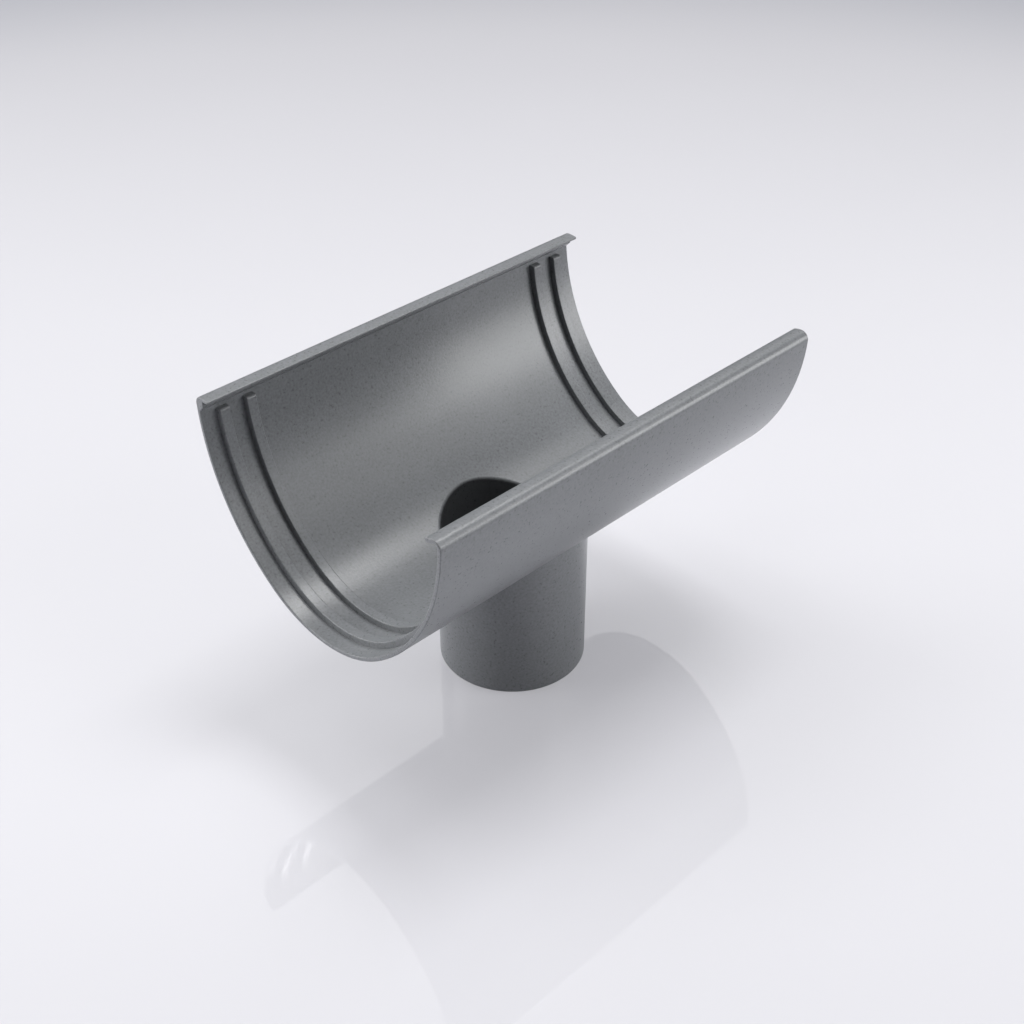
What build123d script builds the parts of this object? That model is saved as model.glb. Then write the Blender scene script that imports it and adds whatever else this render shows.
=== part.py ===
from build123d import *
import math
import os

# Gutter outlet, moulded in one piece: an oval trough that takes a gutter end from each side,
# and a round spigot that drops into the downpipe.
# Millimetres. X runs along the gutter, +Y points to the building, +Z is up.
# The origin is on the spigot's axis, at its lower end.

# Trough
trough_length = 256.0
trough_width = 171.0
trough_depth = 104.0
bottom_radius = 66.0
wall = 2.2

# Spigot
spigot_diameter = 80.0
spigot_wall = 2.5
spigot_drop = 76.0
spigot_straight = 66.0
root_flare = 0.5
mouth_rounding = 2.4

# Back rim: a lip with a low crown, over a thickened shoulder
back_lip_reach = 9.8
back_lip_thickness = 2.2
back_nose_thickness = 1.8
back_shoulder_thickness = 5.4
back_shoulder_height = 3.1
back_corner_radius = 4.2
back_crown_start = 4.6
back_crown_radius = 30.0

# Front rim: the wall turned in over a crown that falls to a rounded nose
front_lip_reach = 9.8
front_lip_thickness = 2.0
front_nose_diameter = 2.8
front_nose_drop = 0.7
front_corner_radius = 4.6
front_hollow_radius = 2.2

# Ribs beside the seal, two at each end
rib_width = 5.6
rib_height = 3.5
rib_setback = 9.1
rib_pitch = 15.9
rib_end_gap = 1.4

# Small roundings
lip_rounding = 0.6
rib_rounding = 0.5
end_rounding = 0.5
spigot_rounding = 0.8

# Levels and half sizes that follow
rim_level = spigot_drop + trough_depth
half_width = trough_width / 2
half_length = trough_length / 2
spigot_radius = spigot_diameter / 2
bore_radius = spigot_radius - spigot_wall

# The oval: a bottom arc, and on each side a flatter arc that is tangent to it and upright at the rim
bottom_rise = trough_depth - bottom_radius
bottom_spare = half_width - bottom_radius
side_shift = (bottom_rise**2 - bottom_spare**2) / (2 * bottom_spare)
side_radius = half_width + side_shift
bottom_half_angle = math.degrees(math.atan2(side_shift, bottom_rise))
side_angle = 90 - bottom_half_angle
bottom_centre = (0, rim_level - bottom_rise)
front_centre = Vector(side_shift, rim_level)
back_centre = (-side_shift, rim_level)

# Front rim: a corner arc tangent to the side arc, a crown arc, and the nose, each tangent to the one before
corner_reach = side_radius - front_corner_radius
corner_y = side_shift - math.sqrt(corner_reach**2 - front_corner_radius**2)
corner_centre = (corner_y, rim_level - front_corner_radius)
corner_turn = math.degrees(math.asin(front_corner_radius / corner_reach))
nose_radius = front_nose_diameter / 2
nose_centre = (front_lip_reach - nose_radius - half_width, rim_level - front_nose_drop - nose_radius)
crown_run = nose_centre[0] - corner_y
crown_radius = nose_radius + (crown_run**2 + front_nose_drop**2) / (2 * front_nose_drop)
crown_turn = math.degrees(math.asin(crown_run / (crown_radius - nose_radius)))

# Levels of the back shoulder and of the ribs' ends
shoulder_top = rim_level - back_lip_thickness
shoulder_bottom = shoulder_top - back_shoulder_height
slope_bottom = shoulder_bottom - (back_shoulder_thickness - wall)
rib_end_level = slope_bottom - rib_end_gap


def oval_arcs(depth):
    """The oval's three arcs, moved inward by this depth, from the front rim round to the back rim."""
    front = CenterArc(front_centre, side_radius - depth, 180 + corner_turn, side_angle - corner_turn)
    CenterArc(bottom_centre, bottom_radius - depth, 180 + side_angle, 2 * bottom_half_angle)
    back = CenterArc(back_centre, side_radius - depth, 0, -side_angle)
    return front @ 0, back @ 0


def oval_face(depth):
    """Face inside the oval at this depth, closed by a straight line at the rim."""
    with BuildLine() as outline:
        front_end, back_end = oval_arcs(depth)
        Line(front_end, back_end)
    make_face(outline.edges())


def oval_band(outer_depth, inner_depth):
    """Face between the ovals at these two depths."""
    with BuildLine() as outline:
        front_outer, back_outer = oval_arcs(outer_depth)
        front_inner, back_inner = oval_arcs(inner_depth)
        Line(front_outer, front_inner)
        Line(back_outer, back_inner)
    make_face(outline.edges())


with BuildPart() as gutter_outlet:
    # Spigot, straight where a pipe goes on and flared a little at its root inside the trough's wall
    with BuildSketch(Plane.XZ):
        with BuildLine():
            Polyline(
                (0, 0),
                (spigot_radius, 0),
                (spigot_radius, spigot_straight),
                (spigot_radius + root_flare, bottom_centre[1]),
                (0, bottom_centre[1]),
                close=True,
            )
        make_face()
    revolve(axis=Axis.Z)
    with BuildSketch(Plane.YZ):
        oval_face(wall / 2)
    extrude(amount=2 * spigot_radius, both=True, mode=Mode.SUBTRACT)

    # Trough with its two rims, as one section drawn out along the gutter
    with BuildSketch(Plane.YZ.offset(-half_length)) as section:
        oval_band(0, wall)
        mid_wall = half_width - wall / 2
        back_nose = half_width - back_lip_reach
        crown_start = half_width - back_crown_start
        crown_centre = (crown_start, rim_level - back_crown_radius)
        crown_fall = math.degrees(math.asin((crown_start - back_nose) / back_crown_radius))
        nose_bottom = rim_level - back_nose_thickness
        shoulder_face = half_width - back_shoulder_thickness
        with BuildLine():
            back_crown = CenterArc(crown_centre, back_crown_radius, 90, crown_fall)
            Polyline(
                back_crown @ 1,
                (back_nose, nose_bottom),
                (shoulder_face, shoulder_top),
                (shoulder_face, shoulder_bottom),
                (half_width - wall, slope_bottom),
                (mid_wall, slope_bottom),
                (mid_wall, rim_level),
                back_crown @ 0,
            )
        make_face()
        lip_bottom = rim_level - front_lip_thickness
        inner_corner = (wall - half_width, lip_bottom)
        with BuildLine():
            corner = CenterArc(corner_centre, front_corner_radius, 180 + corner_turn, -90 - corner_turn)
            crown = CenterArc((corner_y, rim_level - crown_radius), crown_radius, 90, -crown_turn)
            nose = CenterArc(nose_centre, nose_radius, 90 - crown_turn, crown_turn - 180)
            inner_end = front_centre + (corner @ 0 - front_centre) * (1 - wall / side_radius)
            Polyline(nose @ 1, (corner_y, lip_bottom), inner_corner, inner_end, corner @ 0)
        make_face()
        for corner, radius in (
            (inner_corner, front_hollow_radius),
            ((half_width, rim_level), back_corner_radius),
            ((back_nose, rim_level), lip_rounding),
            ((back_nose, nose_bottom), lip_rounding),
            ((shoulder_face, shoulder_bottom), lip_rounding),
        ):
            fillet(section.vertices().sort_by_distance(corner)[0], radius)
    extrude(amount=trough_length)

    # Ribs inside, cut off level below the rims
    for side in (-1, 1):
        for number in range(2):
            rib_middle = half_length - rib_setback - rib_width / 2 - number * rib_pitch
            with BuildSketch(Plane.YZ.offset(side * rib_middle)):
                oval_band(wall / 2, wall + rib_height)
                with Locations((0, rib_end_level)):
                    Rectangle(trough_width, trough_depth, align=(Align.CENTER, Align.MIN), mode=Mode.SUBTRACT)
            extrude(amount=rib_width / 2, both=True)
            fillet(gutter_outlet.edges(Select.LAST), rib_rounding)

    # Bore, with a rounded mouth in the trough's floor
    with BuildSketch():
        Circle(bore_radius)
    extrude(amount=bottom_centre[1], mode=Mode.SUBTRACT)
    mouth = gutter_outlet.edges(Select.LAST).filter_by(lambda edge: edge.center().Z > spigot_drop)
    fillet(mouth, mouth_rounding)

    # Rounded ends
    spigot_end = gutter_outlet.faces().filter_by(Axis.Z).sort_by(Axis.Z)[0]
    fillet(spigot_end.outer_wire().edges(), spigot_rounding)
    trough_ends = gutter_outlet.faces().filter_by(Axis.X).sort_by(Axis.X)
    fillet(trough_ends[0].edges() + trough_ends[-1].edges(), end_rounding)

gutter_outlet.part.label = "gutter_outlet"
os.makedirs("parts", exist_ok=True)
export_step(gutter_outlet.part, "parts/gutter_outlet.step")
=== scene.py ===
# %% [markdown]
# # A gutter outlet in grey plastic
# A gutter outlet joins two lengths of gutter and lets their water down into the downpipe. The real one is
# moulded in one shot: an oval trough, a round spigot under it, a wide lip on the side of the building, a
# rolled lip on the outer side, and two ribs at each end that keep the seal in its place.
# This lesson draws the skin that is seen, from the same numbers as the CAD model, and gives it its finish,
# its floor, its light and its camera.

# %% Load the moulded part
import math
import bmesh
import bpy
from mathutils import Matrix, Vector


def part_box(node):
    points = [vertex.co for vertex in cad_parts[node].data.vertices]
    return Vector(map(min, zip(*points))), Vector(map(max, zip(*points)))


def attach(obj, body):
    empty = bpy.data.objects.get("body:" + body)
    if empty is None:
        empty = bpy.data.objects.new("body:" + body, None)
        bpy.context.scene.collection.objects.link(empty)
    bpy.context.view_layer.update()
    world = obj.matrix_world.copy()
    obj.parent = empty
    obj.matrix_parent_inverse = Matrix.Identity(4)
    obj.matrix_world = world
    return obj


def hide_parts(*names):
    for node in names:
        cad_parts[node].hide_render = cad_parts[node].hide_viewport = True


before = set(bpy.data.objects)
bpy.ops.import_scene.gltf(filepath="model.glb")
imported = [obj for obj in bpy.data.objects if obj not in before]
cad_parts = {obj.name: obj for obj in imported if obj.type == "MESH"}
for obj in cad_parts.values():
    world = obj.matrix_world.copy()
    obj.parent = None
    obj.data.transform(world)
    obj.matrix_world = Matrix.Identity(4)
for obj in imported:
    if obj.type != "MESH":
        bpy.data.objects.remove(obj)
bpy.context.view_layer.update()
cad_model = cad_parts["gutter_outlet"]
low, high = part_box("gutter_outlet")
print("CAD model:", len(cad_model.data.polygons), "triangles,", "size in mm",
      [round(1000 * (b - a), 1) for a, b in zip(low, high)])

# %% [markdown]
# ## The same shape in an even skin
# The mesh made from the CAD model has long thin triangles that run slantwise over the curved walls. In flat
# grey that is fine. In satin plastic they show as dark wedges, so the skin is drawn again here from the same
# numbers, as an even grid that follows the walls. Remeshing the CAD surface would be shorter, but it blurs
# the lips and ribs. Two details are simpler than in the CAD model: the ribs' feet have no small fillets, and
# the ribs' cut ends are rounded by 1.2 mm and not by 0.5 mm. The two surfaces lie at most about 0.3 mm apart.

# %% The numbers of the drawing, in millimetres
length, width, depth, wall = 256.0, 171.0, 104.0, 2.2
bottom_radius = 66.0
spigot_radius, bore_radius = 40.0, 37.5
spigot_drop, spigot_straight, root_flare = 76.0, 66.0, 0.5
rim = spigot_drop + depth
half = width / 2
rise, spare = depth - bottom_radius, half - bottom_radius
shift = (rise**2 - spare**2) / (2 * spare)
side_radius = half + shift
turn = math.atan2(shift, rise)
print("side arcs: radius", round(side_radius, 2), "mm, from", round(math.degrees(turn), 1), "degrees up")

# %% [markdown]
# ## The oval
# The trough's section is an oval of three arcs that run into each other without a kink. The direction square
# to the wall then turns steadily, so one angle is enough to name a place on it: 0 at the bottom, 90 degrees
# at the back rim, -90 at the front rim. A second number says how far into the trough the place lies.

# %% A place on the oval
def oval(angle, inset):
    """Y and Z on the oval at this angle, moved in square to the wall."""
    if abs(angle) <= turn + 1e-9:
        reach = bottom_radius - inset
        return reach * math.sin(angle), rim - rise - reach * math.cos(angle)
    reach = side_radius - inset
    return reach * math.sin(angle) - math.copysign(shift, angle), rim - reach * math.cos(angle)


def angle_below(y, inset):
    """The angle of the place on the oval that lies at this Y."""
    if abs(y) <= (bottom_radius - inset) * math.sin(turn):
        return math.asin(y / (bottom_radius - inset))
    return math.copysign(math.asin((abs(y) + shift) / (side_radius - inset)), y)


def angle_at(level, inset):
    """The angle of the place on the side arc that has this level."""
    return math.acos((rim - level) / (side_radius - inset))


def steps_between(first, last, count):
    """Even steps from the first to the last, both included."""
    return [first + (last - first) * k / count for k in range(count + 1)]


print("outer wall at 0 and 45 degrees:", [[round(c, 1) for c in oval(math.radians(a), 0)] for a in (0, 45)])

# %% [markdown]
# ## The two rims
# The back rim lies against the building: a lip with a low crown, over a thick shoulder. The front rim is the
# one people see, so its wall turns in over a soft crown and ends in a round nose. Both are made of lines and
# arcs. An arc that rounds a corner touches both lines, and then no highlight breaks there.

# %% Lines and arcs of a rim
def arc(centre, radius, start, stop, steps):
    """Points on an arc; 0 degrees is +Y and 90 is up."""
    return [(centre[0] + radius * math.cos(math.radians(a)), centre[1] + radius * math.sin(math.radians(a)))
            for a in steps_between(start, stop, steps)]


def rounded(before, corner, after, radius, steps):
    """The arc that rounds a corner between its two neighbours."""
    corner, before, after = Vector(corner), Vector(before), Vector(after)
    one, two = (before - corner).normalized(), (after - corner).normalized()
    opening = one.angle(two) / 2
    centre = corner + (one + two).normalized() * radius / math.sin(opening)
    first = corner + one * radius / math.tan(opening) - centre
    last = corner + two * radius / math.tan(opening) - centre
    start, stop = (math.degrees(math.atan2(v.y, v.x)) for v in (first, last))
    return arc(centre, radius, start, start + (stop - start + 180) % 360 - 180, steps)


def rim_corner(radius):
    """Y of the arc that rounds the oval into its level top, and the angle at which the arc begins."""
    reach = side_radius - radius
    return math.sqrt(reach**2 - radius**2) - shift, math.asin(radius / reach)


bend = rounded((0, 10), (0, 0), (10, 0), 2.0, 4)
print("a corner rounded by 2 mm:", [[round(c, 2) for c in p] for p in bend])

# %% Back rim
back_corner, lip_reach, lip_rounding = 4.2, 9.8, 0.6
nose_thickness, lip_thickness = 1.8, 2.2
shoulder_thickness, shoulder_height = 5.4, 3.1
back_y, back_turn = rim_corner(back_corner)
nose = (half - lip_reach, rim - nose_thickness)
shoulder_top = (half - shoulder_thickness, rim - lip_thickness)
shoulder_low = (half - shoulder_thickness, rim - lip_thickness - shoulder_height)
slope_foot = (half - wall, shoulder_low[1] - (shoulder_thickness - wall))
run = 0.0
while rim - shoulder_low[1] + run < (side_radius - wall) * math.cos(angle_below(shoulder_low[0] + run, wall)):
    run += 0.001
low_crown, crown_offset = 30.0, 4.6
crown_start = half - crown_offset
crown_fall = math.degrees(math.asin((crown_start - nose[0]) / low_crown))
crown = arc((crown_start, rim - low_crown), low_crown, 90, 90 + crown_fall, 8)
back_rim = (
    arc((back_y, rim - back_corner), back_corner, -math.degrees(back_turn), 90, 8)[1:]
    + crown[:-1]
    + rounded(crown[-2], crown[-1], nose, lip_rounding, 5)
    + rounded(crown[-1], nose, shoulder_top, lip_rounding, 5)
    + [shoulder_top]
    + rounded(shoulder_top, shoulder_low, slope_foot, lip_rounding, 4)
    + [(shoulder_low[0] + run, shoulder_low[1] - run)]
)
print("back rim:", len(back_rim), "points; the slope meets the wall at", [round(c, 2) for c in back_rim[-1]])

# %% Front rim
front_corner, front_thickness, hollow_radius = 4.6, 2.0, 2.2
nose_radius, nose_drop = 1.4, 0.7
front_y, front_turn = rim_corner(front_corner)
nose_centre = (half - lip_reach + nose_radius, rim - nose_drop - nose_radius)
lip_bottom = rim - front_thickness
crown_run = front_y - nose_centre[0]
crown_radius = nose_radius + (crown_run**2 + nose_drop**2) / (2 * nose_drop)
crown_turn = math.degrees(math.asin(crown_run / (crown_radius - nose_radius)))
hollow_start = oval(math.pi / 2 - front_turn, wall)
front_rim = (
    [hollow_start]
    + rounded(hollow_start, (half - wall, lip_bottom), (front_y, lip_bottom), hollow_radius, 6)
    + [(front_y, lip_bottom)]
    + arc(nose_centre, nose_radius, 270, 90 + crown_turn, 8)
    + arc((front_y, rim - crown_radius), crown_radius, 90 + crown_turn, 90, 4)[1:]
    + arc((front_y, rim - front_corner), front_corner, 90, -math.degrees(front_turn), 8)[1:-1]
)
front_rim = [(-y, z) for y, z in front_rim]
print("front rim:", len(front_rim), "points, crown radius", round(crown_radius, 1), "mm")

# %% [markdown]
# ## Ribs as a change of depth
# The ribs are one with the wall, so they get no mesh of their own. Where a rib runs, the inner wall comes in
# by 3.5 mm and goes back again. Each is cut off level below the rims, and its edges are rounded, more at the
# cut than along the top.

# %% One section, its inner wall raised or not
rib_width, rib_height = 5.6, 3.5
rib_rounding, rib_end_rounding = 0.5, 1.2
rib_end_gap = 1.4
rib_end = slope_foot[1] - rib_end_gap
side_steps, bottom_steps = 20, 28


def rib_edge(radius, steps=4):
    """From a rib's foot to its top: how far in from the rib's side, and how high."""
    turns = steps_between(0.0, math.pi / 2, steps)
    top = rib_height - radius
    return [(0.0, 0.0)] + [(radius * (1 - math.cos(a)), top + radius * math.sin(a)) for a in turns]


def inner_wall(raised):
    """The inner wall from back to front. Raised is 0 on the bare wall and 3.5 on a rib."""
    ends = []
    for drop, height in rib_edge(rib_end_rounding):
        inset = wall + raised * height / rib_height
        ends.append(oval(angle_at(rib_end - drop, inset), inset))
    inset = wall + raised
    side = steps_between(angle_at(rib_end - rib_end_rounding, inset), turn, side_steps)[1:]
    back = ends + [oval(a, inset) for a in side]
    bottom = [oval(a, inset) for a in steps_between(turn, -turn, bottom_steps)[1:-1]]
    return back + bottom + [(-y, z) for y, z in reversed(back)]


outer_wall = (
    [oval(-a, 0) for a in steps_between(math.pi / 2 - front_turn, turn, side_steps)]
    + [oval(a, 0) for a in steps_between(-turn, turn, bottom_steps)[1:-1]]
    + [oval(a, 0) for a in steps_between(turn, math.pi / 2 - back_turn, side_steps)]
)


def section(raised=0.0, shrink=0.0):
    """The closed section, with every point moved into the plastic by the shrink."""
    points = [Vector(p) for p in outer_wall + back_rim + inner_wall(raised) + front_rim]
    if shrink == 0.0:
        return points
    moved = []
    for k, here in enumerate(points):
        before, after = here - points[k - 1], points[(k + 1) % len(points)] - here
        one = (before if before.length > 1e-5 else after).normalized()
        two = (after if after.length > 1e-5 else before).normalized()
        square = Vector((-one.y - two.y, one.x + two.x))
        moved.append(here + square * shrink / (1 + one.dot(two)))
    return moved


across = len(section())
print("points in a section:", across)

# %% [markdown]
# ## Sections in rows
# Each section is a row of points across the trough, and four-sided faces join each row to the next. Rows
# stand close together where the shape changes, at the rounded ends and the ribs, and far apart elsewhere.

# %% Where the sections stand
def rows_of_rib(start):
    """Rows over one rib: X, how far the wall is raised, and the shrink."""
    edge = rib_edge(rib_rounding)
    return [(start + off, height, 0.0) for off, height in edge] + [
        (start + rib_width - off, height, 0.0) for off, height in reversed(edge)]


half_length, end_rounding = length / 2, 0.5
rib_setback, rib_pitch = 9.1, 15.9
window_reach, halfway = 48.0, 72.0
rib_starts = [half_length - rib_setback - rib_width - k * rib_pitch for k in (1, 0)]
end_rows = [(half_length - end_rounding * (1 - math.sin(a)), 0.0, end_rounding * (1 - math.cos(a)))
            for a in steps_between(0.0, math.pi / 2, 4)]
window_x = steps_between(-window_reach, window_reach, 24)
right = [(halfway, 0.0, 0.0)] + rows_of_rib(rib_starts[0]) + rows_of_rib(rib_starts[1]) + end_rows
rows = [(-x, raised, shrink) for x, raised, shrink in reversed(right)]
rows += [(x, 0.0, 0.0) for x in window_x] + right
print(len(rows), "rows; the ribs on the right begin at", [round(x, 1) for x in rib_starts])

# %% The trough's skin
skin = bmesh.new()
grid = [[skin.verts.new((x, y, z)) for y, z in section(raised, shrink)] for x, raised, shrink in rows]
first_row = (len(rows) - len(window_x)) // 2
last_row = first_row + len(window_x) - 1
beyond = 4
outer_front = side_steps - beyond
outer_back = side_steps + bottom_steps + beyond
inner_back = len(outer_wall) + len(back_rim) + len(rib_edge(rib_end_rounding)) - 1 + side_steps - beyond
inner_front = inner_back + bottom_steps + 2 * beyond
for i in range(len(rows) - 1):
    for j in range(across):
        if first_row <= i < last_row and (outer_front <= j < outer_back or inner_back <= j < inner_front):
            continue
        k = (j + 1) % across
        skin.faces.new((grid[i][j], grid[i][k], grid[i + 1][k], grid[i + 1][j]))
skin.faces.new(grid[0])
skin.faces.new(grid[-1])
print("trough:", len(skin.faces), "faces, with a window left open at the spigot")

# %% [markdown]
# ## A round hole in a square grid
# The spigot is round and the grid is square. So a window is left open in the grid, and rings of points pass
# from its edge to a circle, each point set on the oval again. A boolean cut needs one line, but it leaves
# slivers round the hole, just where the light is caught.

# %% Rings from the window to the circle
def window(front, back):
    """The grid's points round an open window, in order from its left front corner."""
    step = 1 if back > front else -1
    return (
        [grid[first_row][j] for j in range(front, back, step)]
        + [grid[i][back] for i in range(first_row, last_row)]
        + [grid[last_row][j] for j in range(back, front, -step)]
        + [grid[i][front] for i in range(last_row, first_row, -1)]
    )


def join(ring, other):
    """Four-sided faces between two closed rings."""
    for k in range(len(ring)):
        n = (k + 1) % len(ring)
        skin.faces.new((ring[k], ring[n], other[n], other[k]))


def fill(circle, edge, inset, count=7, crowding=1.3):
    """Rings from the circle to the window's edge, on the oval at this inset, crowded at the circle."""
    inside = circle
    for k in range(1, count):
        spots = [a.co.lerp(b.co, (k / count) ** crowding) for a, b in zip(circle, edge)]
        ring = [skin.verts.new((s.x, s.y, oval(angle_below(s.y, inset), inset)[1])) for s in spots]
        join(inside, ring)
        inside = ring
    join(inside, edge)


outer_edge, inner_edge = window(outer_front, outer_back), window(inner_front, inner_back)
print("points round each window:", len(outer_edge), len(inner_edge))

# %% The spigot, from its root to its end
def bearings(edge):
    return [math.atan2(v.co.y, v.co.x) for v in edge]


def ring_at(radius, level, ways):
    return [skin.verts.new((radius * math.cos(a), radius * math.sin(a), level)) for a in ways]


root = []
for way in bearings(outer_edge):
    radius = spigot_radius
    for _ in range(12):
        level = oval(angle_below(radius * math.sin(way), 0), 0)[1]
        radius = spigot_radius + root_flare * (level - spigot_straight) / (rim - rise - spigot_straight)
    root.append(skin.verts.new((radius * math.cos(way), radius * math.sin(way), level)))
fill(root, outer_edge, 0.0)

ring, foot_rounding = root, 0.8
foot = [(spigot_radius - foot_rounding * (1 - math.cos(a)), foot_rounding * (1 - math.sin(a)))
        for a in steps_between(0, math.pi / 2, 5)]
for radius, level in [(spigot_radius, spigot_straight)] + foot:
    lower = ring_at(radius, level, bearings(outer_edge))
    join(ring, lower)
    ring = lower
print("the spigot meets the belly between", round(min(v.co.z for v in root), 1), "and",
      round(max(v.co.z for v in root), 1), "mm")

# %% [markdown]
# ## The rounded mouth
# The water runs over the edge of the hole, so the mouth is rounded, as if a ball of 2.4 mm radius had been
# rolled round it inside the plastic. The ball touches the bore on one side and the trough's floor on the
# other, and the skin follows the ball from one to the other.

# %% Bore and mouth
mouth, mouth_steps = 2.4, 6
mouth_rings = [[] for _ in range(mouth_steps + 1)]
for way in bearings(inner_edge):
    out = Vector((math.cos(way), math.sin(way), 0.0))
    ball = out * (bore_radius + mouth)
    angle = angle_below(ball.y, wall - mouth)
    ball.z = oval(angle, wall - mouth)[1]
    up = Vector((0.0, -math.sin(angle), math.cos(angle)))
    swing = (-out).angle(up)
    for k, ring_points in enumerate(mouth_rings):
        part = swing * k / mouth_steps
        touch = (-out * math.sin(swing - part) + up * math.sin(part)) / math.sin(swing)
        ring_points.append(skin.verts.new(ball + touch * mouth))
bore_end = ring_at(bore_radius, 0.0, bearings(inner_edge))
join(ring, bore_end)
for one, other in zip([bore_end] + mouth_rings[:-1], mouth_rings):
    join(one, other)
fill(mouth_rings[-1], inner_edge, wall)
print("skin:", len(skin.faces), "faces")

# %% Close it, and mark the edges that stay sharp
in_windows = [vert for vert in skin.verts if not vert.link_faces]
bmesh.ops.delete(skin, geom=in_windows, context="VERTS")
weld_distance = 0.003
bmesh.ops.remove_doubles(skin, verts=skin.verts, dist=weld_distance)
bmesh.ops.recalc_face_normals(skin, faces=skin.faces)
open_edges = sum(not edge.is_manifold for edge in skin.edges)
for face in skin.faces:
    face.smooth = True
for edge in skin.edges:
    edge.smooth = edge.calc_face_angle(0.0) < math.radians(30)
print("points of the grid inside the windows, deleted:", len(in_windows))
print("volume", round(skin.calc_volume()), "mm3, open edges", open_edges)
bmesh.ops.scale(skin, vec=(0.001, 0.001, 0.001), verts=skin.verts)
outlet_mesh = bpy.data.meshes.new("moulded_outlet")
skin.to_mesh(outlet_mesh)
skin.free()

# %% [markdown]
# ## In the place of the CAD model
# Smooth shading bends a flat face that borders on a rounding, such as the cut ends of the trough. The
# Weighted Normal modifier lets the large faces win, so flat stays flat. It changes no point of the mesh.

# %% The moulded outlet
outlet = bpy.data.objects.new("moulded_outlet", outlet_mesh)
bpy.context.scene.collection.objects.link(outlet)
even = outlet.modifiers.new("flat_stays_flat", "WEIGHTED_NORMAL")
even.keep_sharp = True
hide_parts("gutter_outlet")
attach(outlet, "root")
print("size in mm", [round(1000 * c, 2) for c in outlet.dimensions], "the CAD model's",
      [round(1000 * (b - a), 2) for a, b in zip(low, high)])

# %% [markdown]
# ## The grain of the mould
# A mould that was blasted with grit gives satin plastic: light spreads on it, and close by you see a fine
# grain. A photograph of grain could be wrapped round the part, but it would need unwrapping and it would
# stretch. Noise that is worked out in the part's own space has the same size everywhere, inside and out, and
# has no seam. One noise of about a millimetre makes the grain, and a broad one makes faint clouds. In the
# picture the bore is darker than these lamps make it, so the colour inside the bore is darkened with painted
# shade. The cause isn't known, so its darker skin here is a choice about looks. Its distance from the
# spigot's axis is enough to find it.

# %% Helpers for materials
def new_material(name):
    """An empty node material with its output, and the tree to work in."""
    material = bpy.data.materials.new(name)
    material.use_nodes = True
    tree = material.node_tree
    tree.nodes.clear()
    output = tree.nodes.new("ShaderNodeOutputMaterial")
    return material, tree, output


def noise(tree, where, per_metre, detail=2.0, rough=0.5):
    """A noise texture of this many features per metre."""
    texture = tree.nodes.new("ShaderNodeTexNoise")
    texture.inputs["Scale"].default_value = per_metre
    texture.inputs["Detail"].default_value = detail
    texture.inputs["Roughness"].default_value = rough
    tree.links.new(where, texture.inputs["Vector"])
    return texture.outputs["Fac"]


def spread(tree, value, low_end, high_end, start=0.3, stop=0.7, soft=False):
    """The value moved from start..stop to low_end..high_end, with soft ends if asked for."""
    ranged = tree.nodes.new("ShaderNodeMapRange")
    ranged.interpolation_type = "SMOOTHSTEP" if soft else "LINEAR"
    for name, number in (("From Min", start), ("From Max", stop), ("To Min", low_end), ("To Max", high_end)):
        ranged.inputs[name].default_value = number
    tree.links.new(value, ranged.inputs["Value"])
    return ranged.outputs["Result"]


def colour_socket(sockets, name):
    """The socket of this name that carries a colour."""
    return [s for s in sockets if s.name == name and s.type == "RGBA"][0]


def mix(tree, value, first, second, blend="MIX"):
    """The first colour, turning into the second or into their blend as the value goes from 0 to 1."""
    mixed = tree.nodes.new("ShaderNodeMix")
    mixed.data_type = "RGBA"
    mixed.blend_type = blend
    if isinstance(value, float):
        mixed.inputs["Factor"].default_value = value
    else:
        tree.links.new(value, mixed.inputs["Factor"])
    for name, colour in (("A", first), ("B", second)):
        if isinstance(colour, tuple):
            colour_socket(mixed.inputs, name).default_value = (*colour, 1.0)
        else:
            tree.links.new(colour, colour_socket(mixed.inputs, name))
    return colour_socket(mixed.outputs, "Result")


print("helpers ready")

# %% Grey moulded plastic
plastic, tree, output = new_material("grey_moulded_plastic")
place = tree.nodes.new("ShaderNodeTexCoord").outputs["Object"]
grain = noise(tree, place, 780, detail=2.0)
clouds = noise(tree, place, 22, detail=2.0)

clouded = spread(tree, clouds, 0.0, 1.0)
pits = mix(tree, clouded, (0.134, 0.140, 0.147), (0.144, 0.150, 0.158))
peaks = mix(tree, clouded, (0.170, 0.177, 0.186), (0.181, 0.189, 0.199))
grained = mix(tree, spread(tree, grain, 0.0, 1.0, 0.35, 0.65), pits, peaks)

level_only = tree.nodes.new("ShaderNodeVectorMath")
level_only.operation = "MULTIPLY"
level_only.inputs[1].default_value = (1.0, 1.0, 0.0)
tree.links.new(place, level_only.inputs[0])
from_axis = tree.nodes.new("ShaderNodeVectorMath")
from_axis.operation = "LENGTH"
tree.links.new(level_only.outputs["Vector"], from_axis.inputs[0])
# Painted shade: inside the bore the plastic's colour drops to 0.4 of itself, so the hole looks darker.
bore_shade = spread(tree, from_axis.outputs["Value"], 0.4, 1.0, 0.0376, 0.0386)

surface = tree.nodes.new("ShaderNodeBsdfPrincipled")
surface.inputs["IOR"].default_value = 1.5
tree.links.new(mix(tree, 1.0, grained, bore_shade, "MULTIPLY"), surface.inputs["Base Color"])
tree.links.new(spread(tree, grain, 0.27, 0.34), surface.inputs["Roughness"])

bump = tree.nodes.new("ShaderNodeBump")
bump.inputs["Strength"].default_value = 0.5
bump.inputs["Distance"].default_value = 0.0001
tree.links.new(grain, bump.inputs["Height"])
tree.links.new(bump.outputs["Normal"], surface.inputs["Normal"])
tree.links.new(surface.outputs["BSDF"], output.inputs["Surface"])

for piece in (outlet, cad_model):
    piece.data.materials.clear()
    piece.data.materials.append(plastic)
print("finish:", plastic.name, "with", len(tree.nodes), "nodes")

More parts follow.
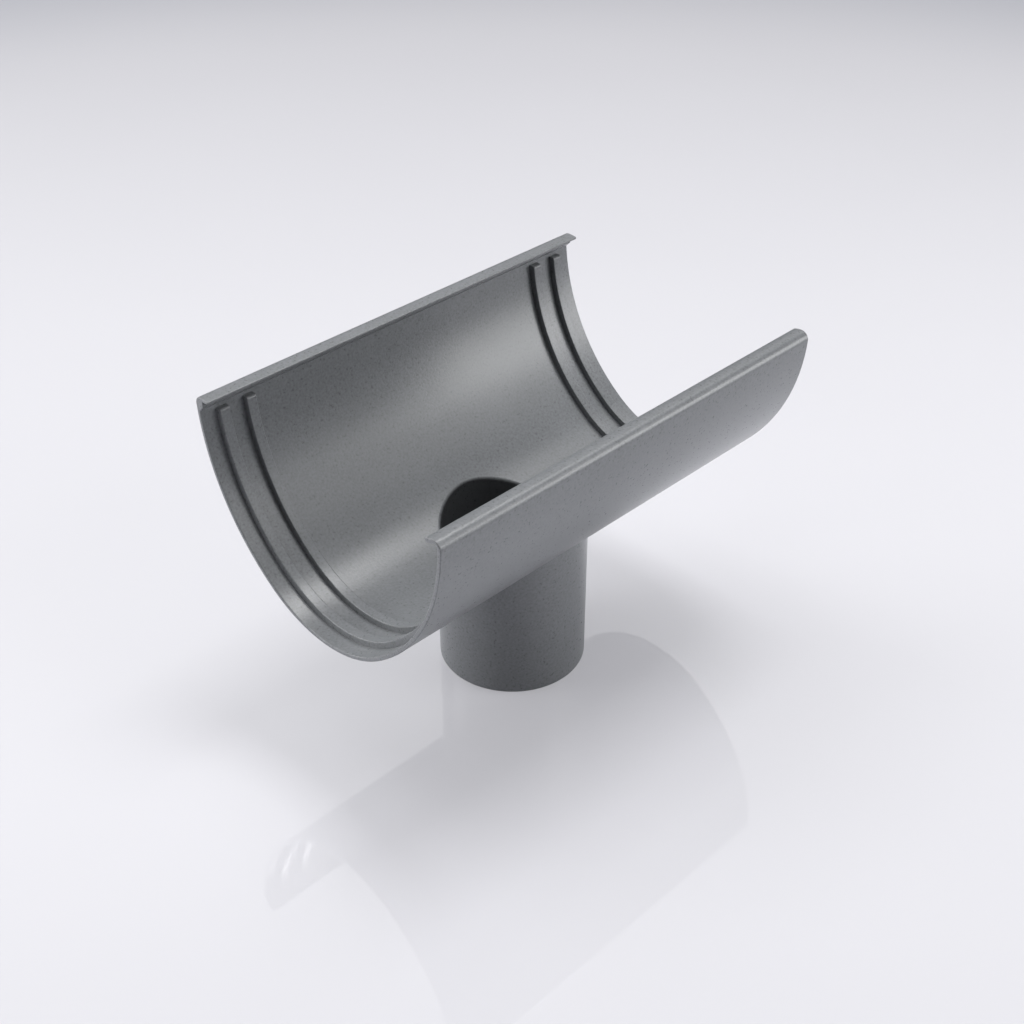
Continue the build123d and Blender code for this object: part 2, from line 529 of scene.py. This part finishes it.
# %% [markdown]
# ## The table under it
# The outlet stands on a pale, faintly glossy sheet, so under it lie a soft shadow and a weak mirror image. A
# glossy coat over a matt white ground does both. In the picture the shadows are filled with light, as if the
# sheet itself glowed. More lamps would wash out the outlet too, so the sheet glows for the camera's rays
# only, and gives back less of the lamps' light. It is a wide disc, so that its edge lies far off.

# %% Pale glossy floor
sheet_material, tree, output = new_material("pale_glossy_sheet")
place = tree.nodes.new("ShaderNodeTexCoord").outputs["Object"]
ground = tree.nodes.new("ShaderNodeBsdfPrincipled")
ground.inputs["IOR"].default_value = 1.8
ground.inputs["Roughness"].default_value = 0.025
away = tree.nodes.new("ShaderNodeVectorMath")
away.operation = "LENGTH"
tree.links.new(place, away.inputs[0])
patches = spread(tree, noise(tree, place, 3.0), 0.0, 1.0)
near = mix(tree, patches, (0.757, 0.753, 0.800), (0.767, 0.763, 0.810))
# Painted light: from 1 m to 1.5 m out, the floor's colour and the glow it shows the camera darken, as where a
# pool of lamplight ends.
painted_light_falloff = spread(tree, away.outputs["Value"], 0.0, 1.0, 1.0, 1.5, soft=True)
tone_and_painted_falloff = mix(tree, painted_light_falloff, near, (0.59, 0.60, 0.66))
seen_by_camera = tree.nodes.new("ShaderNodeLightPath").outputs["Is Camera Ray"]
seen_tone_and_painted_falloff = mix(tree, seen_by_camera, tone_and_painted_falloff, (0.55, 0.55, 0.545), "MULTIPLY")
tree.links.new(seen_tone_and_painted_falloff, ground.inputs["Base Color"])
tree.links.new(tone_and_painted_falloff, ground.inputs["Emission Color"])
tree.links.new(spread(tree, seen_by_camera, 0.0, 0.325, 0.0, 1.0), ground.inputs["Emission Strength"])
tree.links.new(ground.outputs["BSDF"], output.inputs["Surface"])

disc, disc_radius = bmesh.new(), 6.0
bmesh.ops.create_circle(disc, cap_ends=True, segments=96, radius=disc_radius)
floor_mesh = bpy.data.meshes.new("floor_sheet")
disc.to_mesh(floor_mesh)
disc.free()
floor = bpy.data.objects.new("floor_sheet", floor_mesh)
floor.location.z = low.z
bpy.context.scene.collection.objects.link(floor)
floor_mesh.materials.append(sheet_material)
print("floor: a disc", 2 * disc_radius, "m across at z =", round(low.z, 4))

# %% [markdown]
# ## The white backdrop
# Behind the table hangs a tall white sheet, lit from above. The camera never sees it, but the gloss of the
# floor does, and so do the tops of the rims. A sheet that glows a little by itself is the shortest way to get
# it. Its glow fades towards the floor: low down it would only shine along the walls of the trough.

# %% Backdrop
def towards(azimuth, elevation):
    """Unit vector to a place seen from the middle: azimuth 0 is in front of the outlet, 90 to its right."""
    a, e = math.radians(azimuth), math.radians(elevation)
    return Vector((math.sin(a) * math.cos(e), -math.cos(a) * math.cos(e), math.sin(e)))


glow, tree, output = new_material("lit_white_sheet")
place = tree.nodes.new("ShaderNodeTexCoord").outputs["Object"]
up_the_sheet = tree.nodes.new("ShaderNodeSeparateXYZ")
tree.links.new(place, up_the_sheet.inputs[0])
rises = spread(tree, up_the_sheet.outputs["Y"], 0.0, 0.88, -2.2, -0.7)
falls = spread(tree, up_the_sheet.outputs["Y"], 1.0, 0.7, -0.4, 0.9)
glowing = tree.nodes.new("ShaderNodeMath")
glowing.operation = "MULTIPLY"
tree.links.new(rises, glowing.inputs[0])
tree.links.new(falls, glowing.inputs[1])
light = tree.nodes.new("ShaderNodeEmission")
tree.links.new(glowing.outputs["Value"], light.inputs["Strength"])
sheet_white = mix(tree, noise(tree, place, 1.5), (0.96, 0.97, 1.0), (1.0, 1.0, 1.0))
tree.links.new(sheet_white, light.inputs["Color"])
tree.links.new(light.outputs["Emission"], output.inputs["Surface"])

sheet_width, sheet_height, sheet_distance = 5.0, 5.6, 2.6
sheet = bmesh.new()
bmesh.ops.create_grid(sheet, x_segments=10, y_segments=12, size=0.5)
bmesh.ops.scale(sheet, vec=(sheet_width, sheet_height, 1.0), verts=sheet.verts)
backdrop_mesh = bpy.data.meshes.new("backdrop")
sheet.to_mesh(backdrop_mesh)
sheet.free()
backdrop = bpy.data.objects.new("backdrop", backdrop_mesh)
behind = towards(135.2, 0.0)
backdrop.rotation_euler = (-behind).to_track_quat("Z", "Y").to_euler()
backdrop.location = behind * sheet_distance + Vector((0.0, 0.0, sheet_height / 2))
backdrop_mesh.materials.append(glow)
bpy.context.scene.collection.objects.link(backdrop)
backdrop.visible_camera = False
print("backdrop:", [round(c, 2) for c in backdrop.dimensions], "m")

# %% [markdown]
# ## Soft studio light
# Satin plastic shows its shape by what it mirrors, so the light is built from large soft boxes and not from
# one bright lamp. Two stand low on either side of the camera's line, and graze the outer wall and the spigot.
# One hangs high on the right, and the ribs throw their short shadows away from it. The rest fill in between.
# Each place is given as a photographer would say it: how far round, how high. The places and strengths were
# fitted: a small program looked for the mix of many test lamps that comes closest to the picture, and the mix
# was then made brighter. It gives the picture's look, and needn't be where the real lamps stood.
# A glossy floor would show the boxes themselves from some sides, so each has a twin. The box lights the
# outlet, and the twin lights the floor without being mirrored in it. Light linking says which lights what.

# %% Soft boxes
middle = Vector((0.0, 0.0, 0.11))


def lit_only(name, pieces):
    """A collection of the pieces that a lamp lights."""
    collection = bpy.data.collections.new(name)
    for piece in pieces:
        collection.objects.link(piece)
    return collection


lit_outlet = lit_only("lit_outlet", (outlet, cad_model))
lit_floor = lit_only("lit_floor", (floor,))


def soft_box(name, azimuth, elevation, size, watts, distance=2.2):
    """A square area lamp that looks at the middle of the outlet, and its twin for the floor."""
    lamp = bpy.data.lights.new(name, "AREA")
    lamp.shape = "SQUARE"
    lamp.size = size
    lamp.energy = watts
    way = towards(azimuth, elevation)
    for label, lit, mirrored in ((name, lit_outlet, True), (name + "_on_floor", lit_floor, False)):
        box = bpy.data.objects.new(label, lamp)
        box.location = middle + way * distance
        box.rotation_euler = way.to_track_quat("Z", "Y").to_euler()
        box.visible_camera = False
        box.visible_glossy = mirrored
        box.light_linking.receiver_collection = lit
        bpy.context.scene.collection.objects.link(box)
    print(f"{name:16} {watts:5.1f} W at", [round(c, 2) for c in box.location], "m")


soft_box("top_box", 92, 74, 0.76, 24.2)
soft_box("left_low_box", 225, 8, 1.14, 24.1)
soft_box("right_low_box", 45, 8, 1.14, 20.7)
soft_box("front_box", 30, 25, 1.50, 16.1)
soft_box("back_low_box", 195, 8, 1.14, 12.3)
soft_box("back_high_box", 200, 58, 0.81, 8.1)
soft_box("left_high_box", 225, 42, 0.86, 7.8)
soft_box("left_fill_box", 240, 25, 1.04, 6.8)
soft_box("right_high_box", 80, 58, 0.81, 6.5)
soft_box("back_top_box", 164, 74, 0.76, 4.6)
soft_box("front_low_box", 255, 8, 1.14, 4.3)
soft_box("left_top_box", 236, 74, 0.76, 3.9)
soft_box("front_top_box", 40, 58, 0.81, 1.9)

# %% The room round it
world = bpy.data.worlds.new("pale_room")
bpy.context.scene.world = world
world.use_nodes = True
tree = world.node_tree
tree.nodes.clear()
rays = tree.nodes.new("ShaderNodeLightPath")
lit = tree.nodes.new("ShaderNodeBackground")
lit.inputs["Color"].default_value = (0.93, 0.95, 1.0, 1.0)
lit.inputs["Strength"].default_value = 0.06
seen = tree.nodes.new("ShaderNodeBackground")
seen.inputs["Color"].default_value = (0.80, 0.82, 0.86, 1.0)
seen.inputs["Strength"].default_value = 1.0
choice = tree.nodes.new("ShaderNodeMixShader")
world_output = tree.nodes.new("ShaderNodeOutputWorld")
tree.links.new(rays.outputs["Is Camera Ray"], choice.inputs["Fac"])
tree.links.new(lit.outputs["Background"], choice.inputs[1])
tree.links.new(seen.outputs["Background"], choice.inputs[2])
tree.links.new(choice.outputs["Shader"], world_output.inputs["Surface"])
print("room light:", round(lit.inputs["Strength"].default_value, 2))

# %% [markdown]
# ## The camera
# A camera has to stand where the photographer stood, or the trough won't taper as it does in the picture. Its
# place was worked out from the outlet's own corners, so here it is just stated: the point that it looks at,
# how far off it stands, how far round and how high.

# %% Camera at the photograph's view
aim, distance = Vector((-0.000145, 0.0, 0.0903)), 0.81511
camera_data = bpy.data.cameras.new("photo_camera")
camera_data.sensor_width = 36.0
camera_data.lens = 54.643
camera = bpy.data.objects.new("photo_camera", camera_data)
sight = towards(-45.2, 35.145)
camera.location = aim + sight * distance
camera.rotation_euler = sight.to_track_quat("Z", "Y").to_euler()
bpy.context.scene.collection.objects.link(camera)
bpy.context.scene.camera = camera
bpy.context.scene.view_settings.view_transform = "Standard"
print("camera at", [round(c, 4) for c in camera.location], "m")
